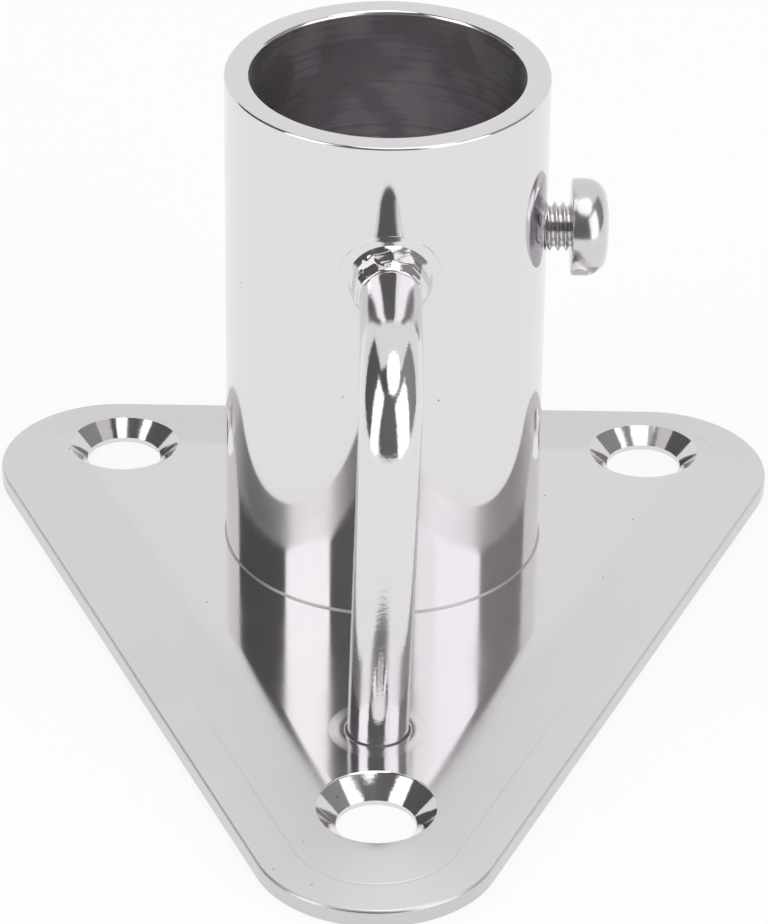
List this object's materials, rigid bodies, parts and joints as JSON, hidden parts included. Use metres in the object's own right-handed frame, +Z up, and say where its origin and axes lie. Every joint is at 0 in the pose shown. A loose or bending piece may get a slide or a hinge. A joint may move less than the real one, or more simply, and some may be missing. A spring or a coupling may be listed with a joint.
{
  "type": "flag pole base",
  "caption": "Deck-mounted flag pole socket: a round tube on a three-cornered plate, with a bent halyard rod in front and a pan-head set screw in its side.",
  "frame": {"origin": "on the plate's underside (the deck face), on the axis of the socket tube", "axes": "+Z up the socket tube, -Y towards the plate's longer front corner and the halyard rod, +X towards the set screw"},
  "size_m": [0.0802, 0.0912, 0.055],
  "materials": {
    "polished_stainless": "mirror-polished stainless steel",
    "screw_stainless": "bright turned stainless steel, slightly satin"
  },
  "bodies": {
    "base": {"base_plate": "polished_stainless", "socket_tube": "polished_stainless", "tube_weld": "polished_stainless", "halyard_rod": "polished_stainless", "rod_head_weld": "polished_stainless", "rod_foot_weld": "polished_stainless"},
    "set_screw": {"set_screw": "screw_stainless"}
  },
  "joints": [
    {"name": "screw_travel", "type": "slide", "parent": "base", "child": "set_screw", "axis": [-1, 0, 0], "range_m": [-0.0015, 0.0023]}
  ]
}
